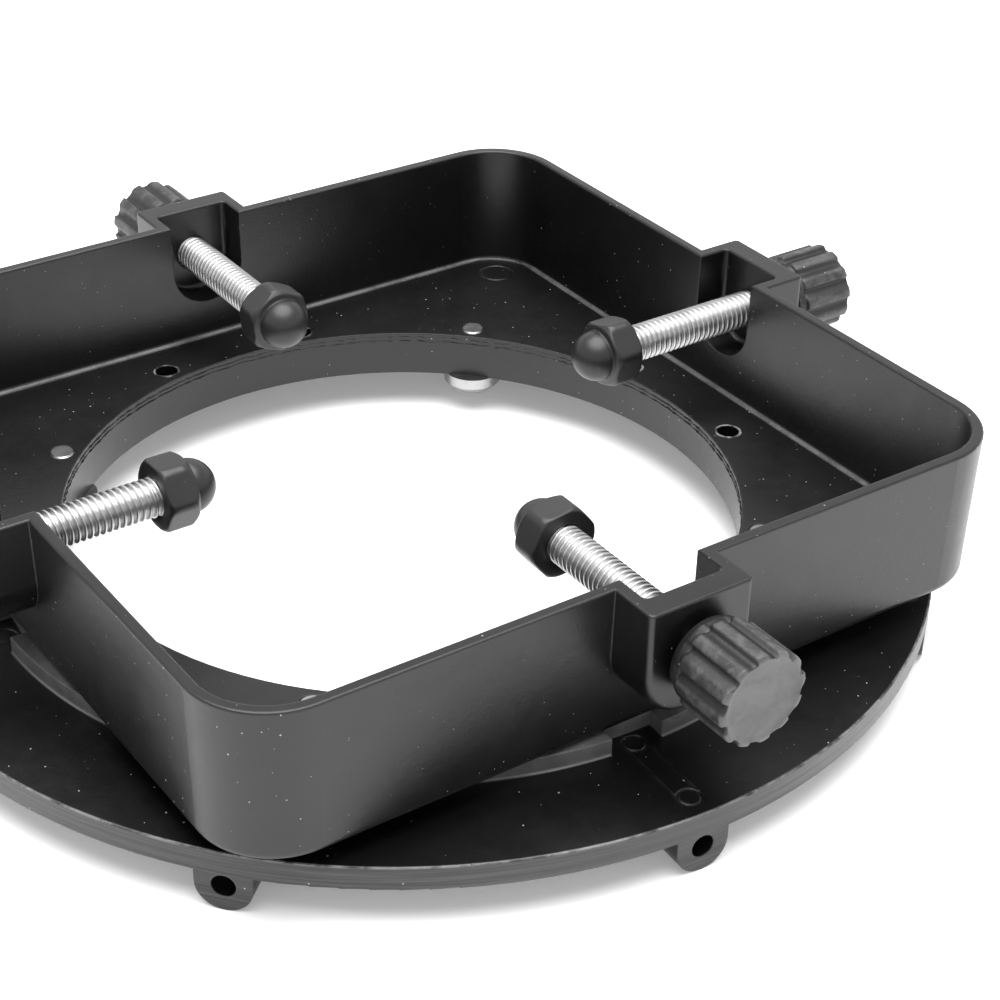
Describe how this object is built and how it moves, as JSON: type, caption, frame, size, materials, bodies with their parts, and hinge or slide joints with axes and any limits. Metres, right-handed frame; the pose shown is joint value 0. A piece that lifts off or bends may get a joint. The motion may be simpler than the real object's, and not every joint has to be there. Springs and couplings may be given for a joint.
{
  "type": "barn door attachment",
  "caption": "Square clamp frame with inward clamp screws that grips a round lamp head, carrying a turning ring whose lugs take the leaves of a barn door.",
  "frame": {"origin": "on the axis of the light opening, level with the lowest points of the lugs that the mount stands on", "axes": "+Z along the light axis towards the lamp head, +X and +Y through two of the clamp screws"},
  "size_m": [0.1686, 0.1686, 0.0358],
  "materials": {
    "frame_black": "satin",
    "ring_black": "satin",
    "screw_steel": "satin",
    "stud_zinc": "satin",
    "cap_black": "satin",
    "knob_black": "matte"
  },
  "bodies": {
    "clamp_frame": {"clamp_frame": "frame_black", "retaining_screw_1": "screw_steel", "retaining_screw_2": "screw_steel", "retaining_screw_3": "screw_steel", "retaining_screw_4": "screw_steel"},
    "door_ring": {"door_ring": "ring_black"},
    "clamp_stud_1": {"clamp_stud_1": "stud_zinc"},
    "clamp_grip_1": {"clamp_cap_1": "cap_black", "clamp_knob_1": "knob_black"},
    "clamp_stud_2": {"clamp_stud_2": "stud_zinc"},
    "clamp_grip_2": {"clamp_cap_2": "cap_black", "clamp_knob_2": "knob_black"},
    "clamp_stud_3": {"clamp_stud_3": "stud_zinc"},
    "clamp_grip_3": {"clamp_cap_3": "cap_black", "clamp_knob_3": "knob_black"},
    "clamp_stud_4": {"clamp_stud_4": "stud_zinc"},
    "clamp_grip_4": {"clamp_cap_4": "cap_black", "clamp_knob_4": "knob_black"}
  },
  "joints": [
    {"name": "ring_turn", "type": "hinge", "parent": "clamp_frame", "child": "door_ring", "pos_m": [0, 0, 0.0092], "axis": [0, 0, 1], "continuous": true},
    {"name": "clamp_slide_1", "type": "slide", "parent": "clamp_frame", "child": "clamp_stud_1", "axis": [0, 1, 0], "range_m": [-0.0255, 0.001]},
    {"name": "clamp_turn_1", "type": "hinge", "parent": "clamp_stud_1", "child": "clamp_grip_1", "pos_m": [0, -0.0589, 0.0276], "axis": [0, 1, 0], "range_deg": [-9180, 360]},
    {"name": "clamp_slide_2", "type": "slide", "parent": "clamp_frame", "child": "clamp_stud_2", "axis": [-1, 0, 0], "range_m": [-0.0255, 0.001]},
    {"name": "clamp_turn_2", "type": "hinge", "parent": "clamp_stud_2", "child": "clamp_grip_2", "pos_m": [0.0589, 0, 0.0276], "axis": [-1, 0, 0], "range_deg": [-9180, 360]},
    {"name": "clamp_slide_3", "type": "slide", "parent": "clamp_frame", "child": "clamp_stud_3", "axis": [0, -1, 0], "range_m": [-0.0255, 0.001]},
    {"name": "clamp_turn_3", "type": "hinge", "parent": "clamp_stud_3", "child": "clamp_grip_3", "pos_m": [0, 0.0589, 0.0276], "axis": [0, -1, 0], "range_deg": [-9180, 360]},
    {"name": "clamp_slide_4", "type": "slide", "parent": "clamp_frame", "child": "clamp_stud_4", "axis": [1, 0, 0], "range_m": [-0.0255, 0.001]},
    {"name": "clamp_turn_4", "type": "hinge", "parent": "clamp_stud_4", "child": "clamp_grip_4", "pos_m": [-0.0589, 0, 0.0276], "axis": [1, 0, 0], "range_deg": [-9180, 360]}
  ],
  "couplings": [
    {"joint": "clamp_turn_1", "follows": "clamp_slide_1", "rad_per_m": 6283.2},
    {"joint": "clamp_turn_2", "follows": "clamp_slide_2", "rad_per_m": 6283.2},
    {"joint": "clamp_turn_3", "follows": "clamp_slide_3", "rad_per_m": 6283.2},
    {"joint": "clamp_turn_4", "follows": "clamp_slide_4", "rad_per_m": 6283.2}
  ]
}
